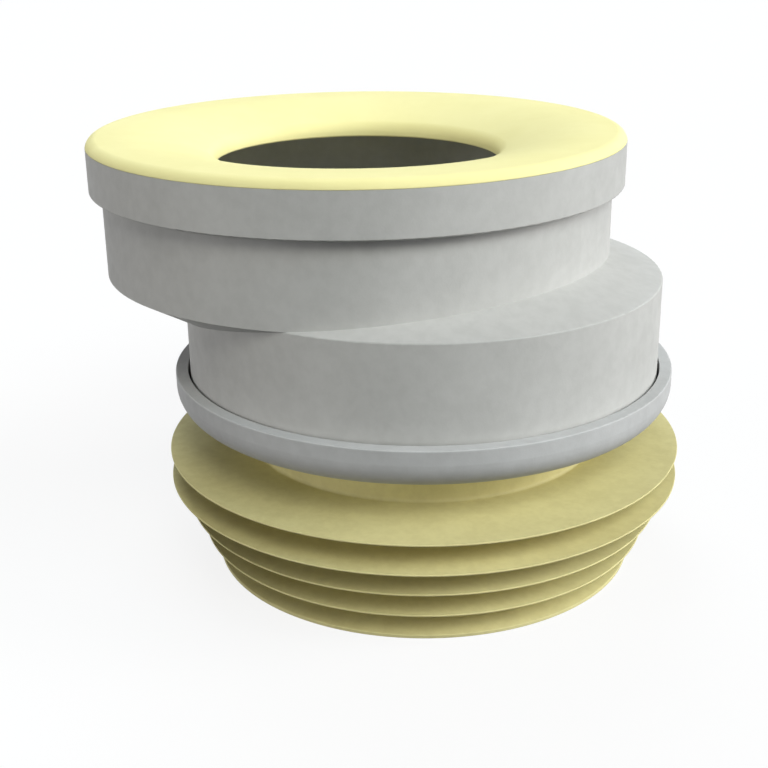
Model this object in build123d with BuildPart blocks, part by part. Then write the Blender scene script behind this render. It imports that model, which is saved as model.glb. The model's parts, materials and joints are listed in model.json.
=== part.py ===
from build123d import *
from math import atan2, degrees, radians, sqrt, tan
import os

# Offset toilet pan connector, in millimetres.
# Origin on the outlet axis at the plane that it stands on, +Z up, inlet axis stepped towards -X.

# Line of the connector
OFFSET = 18.0             # sideways step from the outlet axis to the inlet axis
WALL = 3.0                # wall of the grey mouldings
EDGE_ROUND = 0.3          # broken edge on the grey mouldings

# Pan socket and its collar
CUP_R = 57.8              # outside of the pan socket
CUP_HEIGHT = 18.9         # from the socket's lower edge to the collar
COLLAR_PROUD = 2.7        # step from the socket out to the collar
COLLAR_HEIGHT = 9.65      # band of the collar
UNDERSIDE_SLOPE = 30.0    # degrees, underside of the overhanging socket

# Barrel below the socket
BARREL_R = 53.5           # outside of the barrel
BARREL_HEIGHT = 26.75     # from the barrel's end to its shoulder edge
SHOULDER_SLOPE = 15.0     # degrees, shoulder outside the socket

# Dish flange
RIM_GAP = 0.6             # open groove between the barrel and the rim
RIM_WALL = 2.7            # thickness of the upturned rim
DISH_FLOOR = 3.0          # thickness of the dish under the barrel
RIM_RISE = 6.15           # rim above the dish floor
DISH_ROUND = 6.0          # rounded lower edge of the dish
RIB_CLEARANCE = 0.2       # locating rib inside the barrel
RIB_WALL = 2.5
RIB_RISE = 6.0

# Spigot tube
SPIGOT_R = 37.5           # outside of the tube
SPIGOT_WALL = 2.7
BORE_ROUND = 2.0          # eased entry to the tube
BARB_PROUD = 1.2          # ring that holds the finned sleeve on
BARB_RAMP = 3.0
BARB_LAND = 1.2
BARB_FOOT = 9.0           # start of the ring above the tube's end

# Soft seals
SEAL_CLEARANCE = 0.15     # drawn gap between a seal and the moulding that it grips

# Finned sleeve
SLEEVE_WALL = 2.15        # sleeve under the fins
NECK_HEIGHT = 9.7         # bare sleeve between the dish and the first fin
FIN_PITCH = 6.6
FIN_TIP = 0.8             # thickness at the fin's edge
FIN_ROOT = 2.0            # thickness at the sleeve
MAIN_FIN_R = 59.2         # the two large fins
THIRD_FIN_R = 55.3        # first of the smaller edges
FIN_STEP = 3.1            # each smaller edge is this much less in radius

# Lip seal
FLANGE = 1.9              # thickness of the flange and of the lip
FLANGE_ROUND = 2.6        # radius of the rounded outer edge
LIP_SHELF = 3.35          # flat between the rounded edge and the bell mouth
MOUTH_SWEEP = 54.0        # radius of the bell mouth's long curve
MOUTH_TURN = 3.0          # radius of its short curve into the hole
LIP_R = 32.3              # free hole in the lip
LIP_LAND = 0.95           # straight edge of the hole
SKIRT_WALL = 2.5          # skirt inside the collar
POCKET_FLOOR = 3.0        # ledge that the collar pocket ends on
BEAD_PROUD = 0.8          # bead on the skirt, and its groove
BEAD_HEIGHT = 1.6

# Radii that follow
cup_bore = CUP_R - WALL
collar_r = CUP_R + COLLAR_PROUD
pocket_r = collar_r - WALL
barrel_bore = BARREL_R - WALL
rim_bore = BARREL_R + RIM_GAP
rim_r = rim_bore + RIM_WALL
rib_r = barrel_bore - RIB_CLEARANCE
spigot_bore = SPIGOT_R - SPIGOT_WALL
sleeve_bore = SPIGOT_R + SEAL_CLEARANCE
sleeve_r = sleeve_bore + SLEEVE_WALL
barb_r = SPIGOT_R + BARB_PROUD
skirt_r = pocket_r - SEAL_CLEARANCE
round_r = collar_r - sqrt(FLANGE_ROUND**2 - (FLANGE_ROUND - FLANGE) ** 2)
mouth_r = round_r - LIP_SHELF
turn_r = LIP_R + MOUTH_TURN

# Heights that follow
fin_tops = [FIN_TIP + FIN_PITCH * step for step in range(4, -1, -1)]
fin_radii = [MAIN_FIN_R, MAIN_FIN_R] + [THIRD_FIN_R - FIN_STEP * step for step in range(3)]
dish_bottom = fin_tops[0] + NECK_HEIGHT
barrel_end = dish_bottom + DISH_FLOOR
rim_top = barrel_end + RIM_RISE
edge_z = barrel_end + BARREL_HEIGHT
collar_bottom = edge_z + CUP_HEIGHT
collar_top = collar_bottom + COLLAR_HEIGHT
pocket_z = collar_bottom + POCKET_FLOOR
flange_top = collar_top + FLANGE
sweep_z = flange_top - MOUTH_SWEEP
lip_z = sweep_z + sqrt((MOUTH_SWEEP - MOUTH_TURN) ** 2 - (mouth_r - turn_r) ** 2)
skirt_end = pocket_z + SEAL_CLEARANCE
bead_z = (pocket_z + collar_top) / 2
bead_low = bead_z - BEAD_HEIGHT / 2
bead_high = bead_z + BEAD_HEIGHT / 2
barb_low = BARB_FOOT + BARB_RAMP
barb_top = barb_low + BARB_LAND

# The sloping underside runs in to the barrel's bore, the shoulder runs in to the socket's bore
fall = tan(radians(UNDERSIDE_SLOPE))
rise = tan(radians(SHOULDER_SLOPE))
underside_r = barrel_bore - OFFSET
underside_z = edge_z - (CUP_R - underside_r) * fall
shoulder_r = cup_bore - OFFSET
shoulder_z = edge_z + (BARREL_R - shoulder_r) * rise

# Angle at which the bell mouth's two curves meet
meet = degrees(atan2(lip_z - sweep_z, turn_r - mouth_r))

outlet_plane = Plane.XZ
inlet_plane = Plane(origin=(-OFFSET, 0, 0), x_dir=(1, 0, 0), z_dir=(0, -1, 0))
inlet_axis = Axis((-OFFSET, 0, 0), (0, 0, 1))

os.makedirs("parts", exist_ok=True)

# Offset body: a turned socket and a turned barrel run into each other, then one passage opens both
with BuildPart() as offset_body:
    with BuildSketch(inlet_plane) as socket_form:
        with BuildLine():
            Polyline(
                (0, underside_z),
                (underside_r, underside_z),
                (CUP_R, edge_z),
                (CUP_R, collar_bottom),
                (collar_r, collar_bottom),
                (collar_r, collar_top),
                (0, collar_top),
                close=True,
            )
        make_face()
        fillet(socket_form.vertices().sort_by_distance((collar_r, collar_bottom))[0], EDGE_ROUND)
    revolve(axis=inlet_axis)
    with BuildSketch(outlet_plane) as barrel_form:
        with BuildLine():
            Polyline(
                (0, barrel_end),
                (BARREL_R, barrel_end),
                (BARREL_R, edge_z),
                (shoulder_r, shoulder_z),
                (0, shoulder_z),
                close=True,
            )
        make_face()
        fillet(barrel_form.vertices().sort_by_distance((BARREL_R, edge_z))[0], EDGE_ROUND)
    revolve(axis=Axis.Z)
    with BuildSketch(inlet_plane):
        with BuildLine():
            Polyline(
                (0, underside_z + WALL),
                (underside_r, underside_z + WALL),
                (cup_bore, edge_z - WALL * fall + WALL),
                (cup_bore, pocket_z),
                (pocket_r, pocket_z),
                (pocket_r, bead_low),
                (pocket_r + BEAD_PROUD, bead_z),
                (pocket_r, bead_high),
                (pocket_r, collar_top),
                (0, collar_top),
                close=True,
            )
        make_face()
    revolve(axis=inlet_axis, mode=Mode.SUBTRACT)
    with BuildSketch(outlet_plane):
        with BuildLine():
            Polyline(
                (0, barrel_end),
                (barrel_bore, barrel_end),
                (barrel_bore, edge_z + WALL * rise - WALL),
                (shoulder_r, shoulder_z - WALL),
                (0, shoulder_z - WALL),
                close=True,
            )
        make_face()
    revolve(axis=Axis.Z, mode=Mode.SUBTRACT)
offset_body.part.label = "offset_body"
export_step(offset_body.part, "parts/offset_body.step")

# Outlet spigot: dish with an upturned rim, rib that centres the barrel, tube with a holding ring
with BuildPart() as outlet_spigot:
    with BuildSketch(outlet_plane) as spigot_form:
        with BuildLine():
            Polyline(
                (spigot_bore, 0),
                (spigot_bore, barrel_end),
                (rib_r - RIB_WALL, barrel_end),
                (rib_r - RIB_WALL, barrel_end + RIB_RISE),
                (rib_r, barrel_end + RIB_RISE),
                (rib_r, barrel_end),
                (rim_bore, barrel_end),
                (rim_bore, rim_top),
                (rim_r, rim_top),
                (rim_r, dish_bottom),
                (SPIGOT_R, dish_bottom),
                (SPIGOT_R, barb_top),
                (barb_r, barb_top),
                (barb_r, barb_low),
                (SPIGOT_R, BARB_FOOT),
                (SPIGOT_R, 0),
                close=True,
            )
        make_face()
        fillet(spigot_form.vertices().sort_by_distance((rim_r, dish_bottom))[0], DISH_ROUND)
        fillet(spigot_form.vertices().sort_by_distance((spigot_bore, barrel_end))[0], BORE_ROUND)
        fillet(spigot_form.vertices().sort_by_distance((rim_r, rim_top))[0], EDGE_ROUND)
    revolve(axis=Axis.Z)
outlet_spigot.part.label = "outlet_spigot"
export_step(outlet_spigot.part, "parts/outlet_spigot.step")

# Finned sleeve: plain neck under the dish, flat-topped fins that thin towards the edge
with BuildPart() as outlet_fin_seal:
    with BuildSketch(outlet_plane):
        with BuildLine():
            Polyline(
                (sleeve_bore, 0),
                (sleeve_bore, BARB_FOOT - SEAL_CLEARANCE),
                (barb_r + SEAL_CLEARANCE, barb_low - SEAL_CLEARANCE),
                (barb_r + SEAL_CLEARANCE, barb_top + SEAL_CLEARANCE),
                (sleeve_bore, barb_top + SEAL_CLEARANCE),
                (sleeve_bore, dish_bottom),
                (sleeve_r, dish_bottom),
                (sleeve_r, 0),
                close=True,
            )
        make_face()
        for fin_r, fin_top in zip(fin_radii[:-1], fin_tops[:-1]):
            with BuildLine():
                Polyline(
                    (sleeve_r - FIN_TIP, fin_top),
                    (fin_r, fin_top),
                    (fin_r, fin_top - FIN_TIP),
                    (sleeve_r, fin_top - FIN_ROOT),
                    (sleeve_r - FIN_TIP, fin_top - FIN_ROOT),
                    close=True,
                )
            make_face()
        with BuildLine():
            Polyline(
                (sleeve_r - FIN_TIP, 0),
                (fin_radii[-1], 0),
                (fin_radii[-1], FIN_TIP),
                (sleeve_r, FIN_ROOT),
                (sleeve_r - FIN_TIP, FIN_ROOT),
                close=True,
            )
        make_face()
    revolve(axis=Axis.Z)
outlet_fin_seal.part.label = "outlet_fin_seal"
export_step(outlet_fin_seal.part, "parts/outlet_fin_seal.step")

# Lip seal: bell mouth down to the hole, flange over the collar, skirt with a bead inside the collar
with BuildPart() as inlet_seal:
    with BuildSketch(inlet_plane):
        with BuildLine():
            CenterArc((mouth_r, sweep_z), MOUTH_SWEEP, 90, meet - 90)
            CenterArc((turn_r, lip_z), MOUTH_TURN, meet, 180 - meet)
            Polyline(
                (LIP_R, lip_z),
                (LIP_R, lip_z - LIP_LAND),
                (LIP_R + FLANGE, lip_z - LIP_LAND),
                (LIP_R + FLANGE, lip_z),
            )
            CenterArc((turn_r, lip_z), MOUTH_TURN - FLANGE, meet, 180 - meet)
            CenterArc((mouth_r, sweep_z), MOUTH_SWEEP - FLANGE, 90, meet - 90)
            Line((mouth_r, collar_top), (mouth_r, flange_top))
        make_face()
        with BuildLine():
            RadiusArc((round_r, flange_top), (collar_r, collar_top), FLANGE_ROUND)
            Polyline(
                (collar_r, collar_top),
                (mouth_r, collar_top),
                (mouth_r, flange_top),
                (round_r, flange_top),
            )
        make_face()
        with BuildLine():
            Polyline(
                (skirt_r - SKIRT_WALL, collar_top),
                (skirt_r - SKIRT_WALL, skirt_end),
                (skirt_r, skirt_end),
                (skirt_r, bead_low),
                (skirt_r + BEAD_PROUD, bead_z),
                (skirt_r, bead_high),
                (skirt_r, collar_top),
                close=True,
            )
        make_face()
    revolve(axis=inlet_axis)
inlet_seal.part.label = "inlet_seal"
export_step(inlet_seal.part, "parts/inlet_seal.step")
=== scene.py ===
"""Looks of an offset toilet pan connector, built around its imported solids.

Every length is in metres, in the part's own frame: +Z up, the outlet axis through the origin and
the inlet axis stepped towards -X. The two grey mouldings keep their solids, and the two soft seals
are turned afresh with rounded edges.
"""
import json
import logging
import math
from dataclasses import dataclass, replace
from enum import Enum, IntEnum
from typing import Mapping, Sequence, Union

import bpy
import numpy as np
from mathutils import Matrix, Vector


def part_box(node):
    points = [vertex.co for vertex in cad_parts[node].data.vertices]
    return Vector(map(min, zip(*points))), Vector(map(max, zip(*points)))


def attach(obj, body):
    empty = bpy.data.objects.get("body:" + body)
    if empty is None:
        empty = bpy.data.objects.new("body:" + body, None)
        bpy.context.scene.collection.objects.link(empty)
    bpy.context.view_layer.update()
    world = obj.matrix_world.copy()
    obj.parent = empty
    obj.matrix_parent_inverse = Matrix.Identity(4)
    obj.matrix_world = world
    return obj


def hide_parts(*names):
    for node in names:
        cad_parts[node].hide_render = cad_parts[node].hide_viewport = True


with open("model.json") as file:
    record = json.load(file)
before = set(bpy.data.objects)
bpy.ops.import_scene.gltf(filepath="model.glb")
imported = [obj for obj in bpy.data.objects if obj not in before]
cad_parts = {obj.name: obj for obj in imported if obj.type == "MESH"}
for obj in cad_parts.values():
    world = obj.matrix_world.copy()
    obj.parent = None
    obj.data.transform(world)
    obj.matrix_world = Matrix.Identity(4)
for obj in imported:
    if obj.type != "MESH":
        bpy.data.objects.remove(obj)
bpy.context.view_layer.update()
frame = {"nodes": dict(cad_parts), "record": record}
LOG = logging.getLogger("pan_connector")

Colour = tuple[float, float, float]
Value = Union["Sock", float]

WHITE: Colour = (1.0, 1.0, 1.0)
UP = Vector((0.0, 0.0, 1.0))


def opaque(colour: Colour) -> tuple[float, float, float, float]:
    """Add full alpha to a colour."""
    return (*colour, 1.0)


class Slot(Enum):
    """Material slots of the record."""

    GREY = "grey_plastic"
    CREAM = "cream_seal"


class Node(Enum):
    """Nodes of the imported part."""

    BODY = "offset_body"
    SPIGOT = "outlet_spigot"
    LIP_SEAL = "inlet_seal"
    FIN_SEAL = "outlet_fin_seal"


@dataclass(frozen=True)
class Sock:
    """An output socket whose operators add Math nodes to the graph that it belongs to."""

    graph: "Graph"
    socket: bpy.types.NodeSocket

    def math(self, operation: str, first: Value, second: Value) -> "Sock":
        """Add one Math node.

        Args:
            operation: Blender's name of the operation.
            first: The first operand.
            second: The second operand.

        Returns:
            The node's result.
        """
        node = self.graph.add("ShaderNodeMath", {"operation": operation}, {0: first, 1: second})
        return self.graph.out(node)

    def __add__(self, other: Value) -> "Sock":
        """Sum of two values."""
        return self.math("ADD", self, other)

    def __radd__(self, other: Value) -> "Sock":
        """Sum of two values, with the number first."""
        return self.math("ADD", other, self)

    def __sub__(self, other: Value) -> "Sock":
        """Difference of two values."""
        return self.math("SUBTRACT", self, other)

    def __rsub__(self, other: Value) -> "Sock":
        """Difference of two values, with the number first."""
        return self.math("SUBTRACT", other, self)

    def __mul__(self, other: Value) -> "Sock":
        """Product of two values."""
        return self.math("MULTIPLY", self, other)

    def __rmul__(self, other: Value) -> "Sock":
        """Product of two values, with the number first."""
        return self.math("MULTIPLY", other, self)


class Graph:
    """Nodes of one material or world, each added by its type."""

    def __init__(self, tree: bpy.types.NodeTree) -> None:
        """Start from an empty tree."""
        self.tree = tree
        tree.nodes.clear()

    def add(
        self,
        kind: str,
        settings: Mapping[str, object] | None = None,
        inputs: Mapping[str | int, object] | None = None,
    ) -> bpy.types.Node:
        """Add a node.

        Args:
            kind: Blender's type of the node.
            settings: Properties of the node, set before its sockets.
            inputs: Values or links by socket name, identifier or number.

        Returns:
            The new node.
        """
        node = self.tree.nodes.new(kind)
        for name, value in (settings or {}).items():
            setattr(node, name, value)
        for key, value in (inputs or {}).items():
            socket = self.pick(node.inputs, key)
            if isinstance(value, Sock):
                self.tree.links.new(value.socket, socket)
            else:
                socket.default_value = value
        return node

    @staticmethod
    def pick(sockets: bpy.types.bpy_prop_collection, key: str | int) -> bpy.types.NodeSocket:
        """Find a socket.

        Args:
            sockets: A node's inputs or outputs.
            key: The socket's number, identifier or name.

        Returns:
            The socket.
        """
        if isinstance(key, int):
            return sockets[key]
        return next(socket for socket in sockets if key in (socket.identifier, socket.name))

    def out(self, node: bpy.types.Node, key: str | int = 0) -> Sock:
        """Wrap one of a node's outputs."""
        return Sock(self, self.pick(node.outputs, key))

    def noise(self, where: Sock, scale: float, detail: float, rough: float) -> Sock:
        """Fractal noise about 0.5.

        Args:
            where: Position on the piece.
            scale: Cells per metre.
            detail: Octaves.
            rough: Weight of each octave against the one before.

        Returns:
            The noise value.
        """
        inputs = {"Vector": where, "Scale": scale, "Detail": detail, "Roughness": rough}
        return self.out(self.add("ShaderNodeTexNoise", inputs=inputs))

    def remap(self, value: Sock, low: float, high: float) -> Sock:
        """Smoothly stretch the range from low to high over 0 to 1.

        Args:
            value: The value to stretch.
            low: What becomes 0.
            high: What becomes 1.

        Returns:
            The stretched value.
        """
        settings = {"interpolation_type": "SMOOTHSTEP"}
        inputs = {"Value": value, "From Min": low, "From Max": high}
        return self.out(self.add("ShaderNodeMapRange", settings, inputs))

    def tint(self, factor: Value, first: Colour, second: Colour) -> Sock:
        """Mix two colours.

        Args:
            factor: Share of the second colour.
            first: The colour at 0.
            second: The colour at 1.

        Returns:
            The mixed colour.
        """
        inputs = {"Factor_Float": factor, "A_Color": opaque(first), "B_Color": opaque(second)}
        return self.out(self.add("ShaderNodeMix", {"data_type": "RGBA"}, inputs), "Result_Color")


@dataclass(frozen=True)
class Layer:
    """One size of unevenness in a surface, as cells per metre, and its share of the tone."""

    scale: float
    share: float
    detail: float = 4.0
    rough: float = 0.6
    low: float = 0.31
    high: float = 0.69

    def value(self, graph: Graph, where: Sock) -> Sock:
        """Make the layer's noise, stretched over 0 to 1 and weighed by its share.

        Args:
            graph: The material's nodes.
            where: Position on the piece.

        Returns:
            The layer's part of the tone.
        """
        noise = graph.noise(where, self.scale, self.detail, self.rough)
        return self.share * graph.remap(noise, self.low, self.high)


@dataclass(frozen=True)
class Finish:
    """A moulded surface: cloudy colour, uneven gloss and a fine grain.

    Colours are scene-linear. Scales are cells per metre, and depths are metres.
    """

    slot: Slot
    light: Colour
    dark: Colour
    clouds: Layer
    mottles: Layer
    flecks: Layer
    grain_scale: float
    grain_depth: float
    gloss: float
    dull: float
    specular: float
    grain_detail: float = 2.0
    grain_rough: float = 0.5

    def material(self) -> bpy.types.Material:
        """Make the material.

        Wide clouds, smaller mottles and fine flecks move the colour between its dark and light
        tones. The same tone moves the roughness, and a fine noise raises the grain.

        Returns:
            The material.
        """
        material = bpy.data.materials.new(self.slot.value + "_finish")
        material.use_nodes = True
        graph = Graph(material.node_tree)
        where = graph.out(graph.add("ShaderNodeTexCoord"), "Object")
        layers = [layer.value(graph, where) for layer in (self.clouds, self.mottles, self.flecks)]
        tone = layers[0] + layers[1] + layers[2]
        grain = graph.noise(where, self.grain_scale, self.grain_detail, self.grain_rough)
        bump = graph.add("ShaderNodeBump", inputs={"Distance": self.grain_depth, "Height": grain})
        shader = graph.add(
            "ShaderNodeBsdfPrincipled",
            inputs={
                "Base Color": graph.tint(tone, self.dark, self.light),
                "Roughness": self.gloss + (self.dull - self.gloss) * (1.0 - tone),
                "Normal": graph.out(bump),
                "Specular IOR Level": self.specular,
            },
        )
        graph.add("ShaderNodeOutputMaterial", inputs={"Surface": graph.out(shader)})
        return material


BODY_GREY = Finish(
    slot=Slot.GREY,
    light=(0.570, 0.568, 0.549),
    dark=(0.495, 0.494, 0.475),
    clouds=Layer(scale=38.0, share=0.38),
    mottles=Layer(scale=140.0, share=0.22),
    flecks=Layer(scale=360.0, share=0.40, detail=3.0),
    grain_scale=2600.0,
    grain_depth=0.00002,
    gloss=0.52,
    dull=0.62,
    specular=0.11,
)

SPIGOT_GREY = replace(BODY_GREY, light=(0.549, 0.553, 0.551), dark=(0.477, 0.481, 0.477))

LIP_CREAM = Finish(
    slot=Slot.CREAM,
    light=(0.926, 0.863, 0.418),
    dark=(0.892, 0.826, 0.390),
    clouds=Layer(scale=32.0, share=0.5),
    mottles=Layer(scale=120.0, share=0.3),
    flecks=Layer(scale=340.0, share=0.2, detail=3.0),
    grain_scale=2000.0,
    grain_depth=0.000025,
    gloss=0.55,
    dull=0.68,
    specular=0.2,
)

# Painted shade: the sleeve's cream is a darker, browner copy of the lip seal's cream. It stands in
# for the shade that falls on the fins under the dish and between them.
SHADED_SLEEVE_CREAM = replace(
    LIP_CREAM,
    light=(0.746, 0.686, 0.345),
    dark=(0.627, 0.565, 0.273),
    clouds=Layer(scale=32.0, share=0.36),
    mottles=Layer(scale=120.0, share=0.24),
    flecks=Layer(scale=420.0, share=0.40, detail=4.0),
)


class Arc(IntEnum):
    """Points along the arc of a rounded corner."""

    TINY = 3
    PLAIN = 6
    LIP = 8
    BACK_TURN = 10
    MOUTH_TURN = 14
    FLANGE = 16
    BACK_SWEEP = 20
    SWEEP = 28


@dataclass(frozen=True)
class Corner:
    """A corner of a turned profile: its radius, height, rounding and the points of its arc."""

    r: float
    z: float
    rounding: float = 0.0003
    steps: int = Arc.PLAIN


@dataclass(frozen=True)
class TurnedShell:
    """A closed surface turned about a vertical axis."""

    name: str
    axis_x: float
    corners: Sequence[Corner]
    around: int = 240
    same_point: float = 1e-7

    def profile(self) -> tuple[np.ndarray, np.ndarray]:
        """Round every corner of the profile.

        A corner of radius q that turns by the angle a starts q tan(a / 2) before the corner. A
        share of the turn, s, then lies at q sin(s a) along the incoming side and q (1 - cos(s a))
        towards the inside of the turn.

        Returns:
            Points and outward normals, both as rows of radius and height.
        """
        points = np.array([(corner.r, corner.z) for corner in self.corners])
        rounding = np.array([corner.rounding for corner in self.corners])
        steps = np.array([corner.steps for corner in self.corners])
        ahead = np.roll(points, -1, axis=0) - points
        ahead /= np.linalg.norm(ahead, axis=1, keepdims=True)
        along = np.roll(ahead, 1, axis=0)
        left = np.stack([-along[:, 1], along[:, 0]], axis=1)
        turn = np.arctan2((left * ahead).sum(axis=1), (along * ahead).sum(axis=1))
        start = points - along * (rounding * np.tan(np.abs(turn) / 2))[:, None]
        owner = np.repeat(np.arange(len(points)), steps)
        share = (np.arange(len(owner)) - (np.cumsum(steps) - steps)[owner]) / (steps - 1)[owner]
        angle = (turn[owner] * share)[:, None]
        inward = left[owner] * np.where(angle < 0, -1.0, 1.0)
        reach = np.sin(np.abs(angle)) * along[owner] + (1 - np.cos(angle)) * inward
        curve = start[owner] + rounding[owner, None] * reach
        heading = np.cos(angle) * along[owner] + np.sin(angle) * left[owner]
        normals = np.stack([heading[:, 1], -heading[:, 0]], axis=1)
        kept = np.linalg.norm(curve - np.roll(curve, 1, axis=0), axis=1) > self.same_point
        return curve[kept], normals[kept]

    def build(self) -> bpy.types.Object:
        """Carry the profile round the axis.

        The point at radius r and height z goes to (axis + r cos t, r sin t, z) at each angle t.

        Returns:
            The turned object, with its exact normals.
        """
        curve, normals = self.profile()
        angles = np.linspace(0.0, 2 * math.pi, self.around, endpoint=False)
        compass = np.stack([np.cos(angles), np.sin(angles)], axis=1)[None, :, :]
        level = np.broadcast_to(curve[:, None, 1:], (len(curve), self.around, 1))
        vertices = np.concatenate([curve[:, None, :1] * compass, level], axis=2)
        vertices[..., 0] += self.axis_x
        lift = np.broadcast_to(normals[:, None, 1:], level.shape)
        facing = np.concatenate([normals[:, None, :1] * compass, lift], axis=2)
        here = np.arange(len(curve) * self.around).reshape(len(curve), self.around)
        above = np.roll(here, -1, axis=0)
        rings = [here, np.roll(here, -1, axis=1), np.roll(above, -1, axis=1), above]
        faces = np.stack(rings, axis=2).reshape(-1, 4)
        mesh = bpy.data.meshes.new(self.name)
        mesh.from_pydata(vertices.reshape(-1, 3).tolist(), [], faces.tolist())
        mesh.shade_smooth()
        mesh.normals_split_custom_set_from_vertices(facing.reshape(-1, 3).tolist())
        turned = bpy.data.objects.new(self.name, mesh)
        bpy.context.scene.collection.objects.link(turned)
        return turned


def paint(piece: bpy.types.Object, material: bpy.types.Material) -> None:
    """Give a piece one material.

    Args:
        piece: The object to paint.
        material: Its material.
    """
    piece.data.materials.clear()
    piece.data.materials.append(material)


@dataclass(frozen=True)
class Moulding:
    """A grey moulding that keeps its solid."""

    node: Node

    def dress(self, material: bpy.types.Material) -> bpy.types.Object:
        """Paint the solid.

        Args:
            material: The grey finish.

        Returns:
            The node's object.
        """
        piece = frame["nodes"][self.node.value]
        paint(piece, material)
        return piece


@dataclass(frozen=True)
class SoftSeal:
    """A soft seal that is turned afresh and stands for its solid."""

    node: Node
    name: str

    def centre(self) -> float:
        """X of the seal's axis."""
        low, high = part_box(self.node.value)
        return (low.x + high.x) / 2

    def reach(self) -> float:
        """Largest radius of the seal."""
        low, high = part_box(self.node.value)
        return (high.x - low.x) / 2

    def corners(self) -> list[Corner]:
        """Corners of the seal's profile, anticlockwise."""
        raise NotImplementedError

    def build(self) -> bpy.types.Object:
        """Turn the seal and put it in the place of its solid.

        Returns:
            The seal's object.
        """
        piece = TurnedShell(self.name, self.centre(), self.corners()).build()
        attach(piece, "root")
        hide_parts(self.node.value)
        return piece

    def dress(self, piece: bpy.types.Object, material: bpy.types.Material) -> None:
        """Paint the seal."""
        paint(piece, material)


@dataclass(frozen=True)
class LipSeal(SoftSeal):
    """Seal over the collar: rounded flange, bell mouth down to the hole, skirt with a bead."""

    node: Node = Node.LIP_SEAL
    name: str = "lip_seal"
    flange: float = 0.0019
    flange_round: float = 0.0026
    flange_fit: float = 0.94
    seat_round: float = 0.0001
    shelf: float = 0.00335
    sweep: float = 0.054
    mouth_turn: float = 0.003
    lip_land: float = 0.00095
    lip_round: float = 0.0006
    lip_front_round: float = 0.00048
    skirt_gap: float = 0.00315
    skirt_wall: float = 0.0025
    bead_proud: float = 0.0008
    bead_half: float = 0.0008

    def hole(self) -> float:
        """Radius of the free hole, from the record's inlet."""
        inlet = next(m for m in frame["record"]["mounts"] if m["name"] == "inlet")
        return inlet["dims"]["r_mm"] / 1000

    def corners(self) -> list[Corner]:
        """Set out the profile, anticlockwise from the foot of the skirt.

        The flange's edge is an arc that meets the top level, a little tightened so that it clears
        the seat's own rounding. The bell mouth is two arcs that touch where both lean by the same
        angle, so its corners stand where their tangents cross.

        Returns:
            The corners of the profile.
        """
        low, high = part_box(self.node.value)
        top, foot, rim = high.z, low.z, self.reach()
        seat = top - self.flange
        lean = math.acos((self.flange_round - self.flange) / self.flange_round)
        shoulder = rim - self.flange_round * math.sin(lean)
        edge = shoulder + self.flange_round * math.tan(lean / 2)
        mouth = shoulder - self.shelf
        hole = self.hole()
        fall = math.asin((mouth - hole - self.mouth_turn) / (self.sweep - self.mouth_turn))
        brow = mouth - self.sweep * math.tan(fall / 2)
        turn_z = top - (brow - hole) * math.tan(fall)
        lip_z = top - self.sweep + (self.sweep - self.mouth_turn) * math.cos(fall) - self.lip_land
        back = hole + self.flange
        back_brow = brow + self.flange * math.tan(fall / 2)
        back_turn = seat - (back_brow - back) * math.tan(fall)
        outer = rim - self.skirt_gap
        inner = outer - self.skirt_wall
        bead_z = (foot + seat) / 2
        return [
            Corner(inner, foot),
            Corner(outer, foot),
            Corner(outer, bead_z - self.bead_half),
            Corner(outer + self.bead_proud, bead_z),
            Corner(outer, bead_z + self.bead_half),
            Corner(outer, seat),
            Corner(rim, seat, self.seat_round, Arc.TINY),
            Corner(edge, top, self.flange_round * self.flange_fit, Arc.FLANGE),
            Corner(brow, top, self.sweep, Arc.SWEEP),
            Corner(hole, turn_z, self.mouth_turn, Arc.MOUTH_TURN),
            Corner(hole, lip_z, self.lip_front_round, Arc.LIP),
            Corner(back, lip_z, self.lip_round, Arc.LIP),
            Corner(back, back_turn, self.mouth_turn - self.flange, Arc.BACK_TURN),
            Corner(back_brow, seat, self.sweep - self.flange, Arc.BACK_SWEEP),
            Corner(inner, seat, self.seat_round, Arc.TINY),
        ]


@dataclass(frozen=True)
class FinnedSleeve(SoftSeal):
    """Seal on the spigot: plain neck, two large fins and three smaller edges below them."""

    node: Node = Node.FIN_SEAL
    name: str = "finned_sleeve"
    neck: float = 0.0398
    bore: float = 0.03765
    groove: float = 0.03885
    groove_low: float = 0.00885
    groove_ramp: float = 0.003
    groove_land: float = 0.0015
    pitch: float = 0.0066
    large_fins: int = 2
    small_fins: int = 3
    third: float = 0.0553
    step: float = 0.0031
    tip: float = 0.0008
    tip_edge: float = 0.0004
    root: float = 0.0020
    tip_round: float = 0.00016
    root_round: float = 0.0007

    def fins(self) -> list[tuple[float, float]]:
        """Set out the fins, small ones below large ones.

        Returns:
            Radius and upper level of each fin, from the lowest up.
        """
        small = [self.third - self.step * k for k in reversed(range(self.small_fins))]
        radii = small + [self.reach()] * self.large_fins
        return [(radius, self.tip + self.pitch * k) for k, radius in enumerate(radii)]

    def corners(self) -> list[Corner]:
        """Set out the profile, anticlockwise from the inside of the foot.

        Returns:
            The corners of the profile.
        """
        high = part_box(self.node.value)[1]
        groove_edge = self.groove_low + self.groove_ramp
        (foot, foot_top), *fins = self.fins()
        outline = [
            Corner(self.bore, 0.0),
            Corner(foot, 0.0, self.tip_round),
            Corner(foot, foot_top, self.tip_round),
            Corner(self.neck, self.root, self.root_round),
        ]
        for radius, level in fins:
            outline += [
                Corner(self.neck, level - self.root, self.root_round),
                Corner(radius, level - self.tip_edge, self.tip_round),
                Corner(radius, level, self.tip_round),
                Corner(self.neck, level, self.root_round),
            ]
        return outline + [
            Corner(self.neck, high.z),
            Corner(self.bore, high.z),
            Corner(self.bore, groove_edge + self.groove_land),
            Corner(self.groove, groove_edge + self.groove_land),
            Corner(self.groove, groove_edge),
            Corner(self.bore, self.groove_low),
        ]


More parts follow.
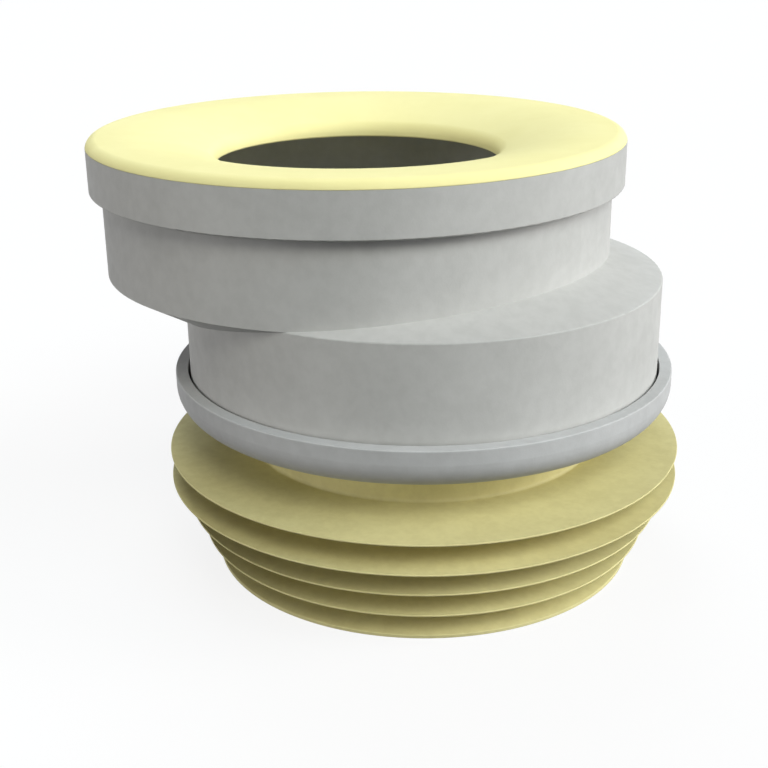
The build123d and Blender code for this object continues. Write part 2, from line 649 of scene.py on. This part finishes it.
@dataclass(frozen=True)
class PhotoCamera:
    """Camera fitted to the outlines in the photograph. Angles are radians."""

    azimuth: float = math.radians(34.461)
    distance: float = 0.28134
    height: float = 0.14403
    yaw: float = -0.03213
    pitch: float = 0.35843
    roll: float = -0.01245
    lens_mm: float = 59.94
    sensor_mm: float = 36.0
    nearest: float = 0.01
    farthest: float = 100.0

    def sideways(self) -> Vector:
        """Level direction to the right of the view."""
        return Vector((math.cos(self.azimuth), math.sin(self.azimuth), 0.0))

    def towards(self) -> Vector:
        """Level direction from the outlet axis to the camera."""
        return Vector((math.sin(self.azimuth), -math.cos(self.azimuth), 0.0))

    def build(self) -> bpy.types.Object:
        """Make the scene's camera.

        Returns:
            The camera object.
        """
        data = bpy.data.cameras.new("photo_camera")
        data.sensor_fit = "HORIZONTAL"
        data.sensor_width = self.sensor_mm
        data.lens = self.lens_mm
        data.clip_start = self.nearest
        data.clip_end = self.farthest
        camera = bpy.data.objects.new("photo_camera", data)
        bpy.context.scene.collection.objects.link(camera)
        level = math.cos(self.yaw) * -self.towards() + math.sin(self.yaw) * self.sideways()
        ahead = math.cos(self.pitch) * level - math.sin(self.pitch) * UP
        right = ahead.cross(UP).normalized()
        upward = right.cross(ahead)
        rolled = math.cos(self.roll) * right + math.sin(self.roll) * upward
        crown = rolled.cross(ahead)
        turn = Matrix((rolled, crown, -ahead)).transposed()
        place = self.distance * self.towards() + self.height * UP
        camera.matrix_world = Matrix.Translation(place) @ turn.to_4x4()
        bpy.context.scene.camera = camera
        return camera


@dataclass(frozen=True)
class Lamp:
    """A soft distant lamp. Angles are degrees, and the azimuth runs to the right of the camera."""

    name: str
    azimuth: float
    elevation: float
    strength: float
    spread: float
    colour: Colour

    def build(self, camera: PhotoCamera) -> bpy.types.Object:
        """Hang the lamp.

        Args:
            camera: The camera that the azimuth starts from.

        Returns:
            The lamp object.
        """
        data = bpy.data.lights.new(self.name, "SUN")
        data.energy = self.strength
        data.angle = math.radians(self.spread)
        data.color = self.colour
        lamp = bpy.data.objects.new(self.name, data)
        bpy.context.scene.collection.objects.link(lamp)
        side, rise = math.radians(self.azimuth), math.radians(self.elevation)
        level = math.sin(side) * camera.sideways() + math.cos(side) * camera.towards()
        source = math.cos(rise) * level + math.sin(rise) * UP
        lamp.rotation_mode = "QUATERNION"
        lamp.rotation_quaternion = source.to_track_quat("Z", "Y")
        return lamp


KEY_LAMP = Lamp(
    "key", azimuth=88.0, elevation=16.0, strength=2.53, spread=30.0, colour=(1.0, 0.99, 0.98)
)
FRONT_LAMP = Lamp(
    "front", azimuth=17.0, elevation=44.0, strength=1.18, spread=26.0, colour=(1.0, 1.0, 0.91)
)
LEFT_LAMP = Lamp(
    "left", azimuth=-66.0, elevation=9.0, strength=1.02, spread=30.0, colour=(1.0, 0.985, 0.97)
)
BACK_LAMP = Lamp(
    "back", azimuth=196.0, elevation=50.0, strength=1.0, spread=34.0, colour=(0.84, 0.93, 1.0)
)
HIGH_LAMP = Lamp(
    "high", azimuth=52.0, elevation=45.0, strength=0.88, spread=30.0, colour=(0.8, 0.92, 1.0)
)


@dataclass(frozen=True)
class Studio:
    """Pale floor, even sky and soft lamps. Grey levels are scene-linear."""

    camera: PhotoCamera
    lamps: tuple[Lamp, ...] = (KEY_LAMP, FRONT_LAMP, LEFT_LAMP, BACK_LAMP, HIGH_LAMP)
    floor_half: float = 8.0
    floor_bounce: float = 0.08
    floor_white: float = 0.95
    shadow_share: float = 0.15
    sky: Colour = (0.118, 0.122, 0.137)

    @staticmethod
    def seen(graph: Graph) -> Sock:
        """Mark the rays that show the background.

        Args:
            graph: The graph to add to.

        Returns:
            One for rays of the camera, of gloss and of glass, and nought for other light.
        """
        path = graph.add("ShaderNodeLightPath")
        names = ("Is Camera Ray", "Is Glossy Ray", "Is Transmission Ray")
        camera, glossy, glass = (graph.out(path, name) for name in names)
        return graph.remap(camera + glossy + glass, 0.0, 1.0)

    @staticmethod
    def blend(
        graph: Graph, factor: Value, first: bpy.types.Node, second: bpy.types.Node
    ) -> bpy.types.Node:
        """Mix two shaders.

        Args:
            graph: The graph to add to.
            factor: Share of the second shader.
            first: The shader at 0.
            second: The shader at 1.

        Returns:
            The mixed shader's node.
        """
        inputs = {0: factor, 1: graph.out(first), 2: graph.out(second)}
        return graph.add("ShaderNodeMixShader", inputs=inputs)

    def build_floor(self) -> bpy.types.Object:
        """Lay the floor at the level that the connector stands on.

        Other light meets a plain grey floor. Seen rays meet a white one that shows a faint shadow.

        Returns:
            The floor object.
        """
        half = self.floor_half
        square = [(-half, -half, 0.0), (half, -half, 0.0), (half, half, 0.0), (-half, half, 0.0)]
        mesh = bpy.data.meshes.new("floor")
        mesh.from_pydata(square, [], [(0, 1, 2, 3)])
        floor = bpy.data.objects.new("floor", mesh)
        bpy.context.scene.collection.objects.link(floor)
        material = bpy.data.materials.new("pale_floor")
        material.use_nodes = True
        graph = Graph(material.node_tree)
        grey, pale = (opaque((tone,) * 3) for tone in (self.floor_bounce, self.floor_white))
        bounce = graph.add("ShaderNodeBsdfDiffuse", inputs={"Color": grey})
        matt = graph.add("ShaderNodeBsdfDiffuse", inputs={"Color": pale})
        white = graph.add("ShaderNodeEmission", inputs={"Color": opaque(WHITE)})
        shown = self.blend(graph, self.shadow_share, white, matt)
        surface = self.blend(graph, self.seen(graph), bounce, shown)
        graph.add("ShaderNodeOutputMaterial", inputs={"Surface": graph.out(surface)})
        paint(floor, material)
        return floor

    def build_sky(self) -> None:
        """Light the scene evenly, with a plain white behind it."""
        world = bpy.data.worlds.new("studio_sky")
        world.use_nodes = True
        graph = Graph(world.node_tree)
        light = graph.add("ShaderNodeBackground", inputs={"Color": opaque(self.sky)})
        white = graph.add("ShaderNodeBackground", inputs={"Color": opaque(WHITE)})
        surface = self.blend(graph, self.seen(graph), light, white)
        graph.add("ShaderNodeOutputWorld", inputs={"Surface": graph.out(surface)})
        bpy.context.scene.world = world

    def build(self) -> None:
        """Lay the floor, light the sky and hang the lamps."""
        LOG.info("laid %s", self.build_floor().name)
        self.build_sky()
        for lamp in self.lamps:
            LOG.info("hung %s", lamp.build(self.camera).name)


def main() -> None:
    """Build the connector's looks, then the studio."""
    logging.basicConfig(level=logging.INFO, format="%(name)s: %(message)s")
    bpy.context.scene.view_settings.view_transform = "Standard"
    for node, finish in ((Node.BODY, BODY_GREY), (Node.SPIGOT, SPIGOT_GREY)):
        LOG.info("dressed %s", Moulding(node).dress(finish.material()).name)
    for seal, finish in ((LipSeal(), LIP_CREAM), (FinnedSleeve(), SHADED_SLEEVE_CREAM)):
        piece = seal.build()
        seal.dress(piece, finish.material())
        LOG.info("turned %s with %d faces", piece.name, len(piece.data.polygons))
    camera = PhotoCamera()
    camera.build()
    Studio(camera).build()


if __name__ == "__main__":
    main()
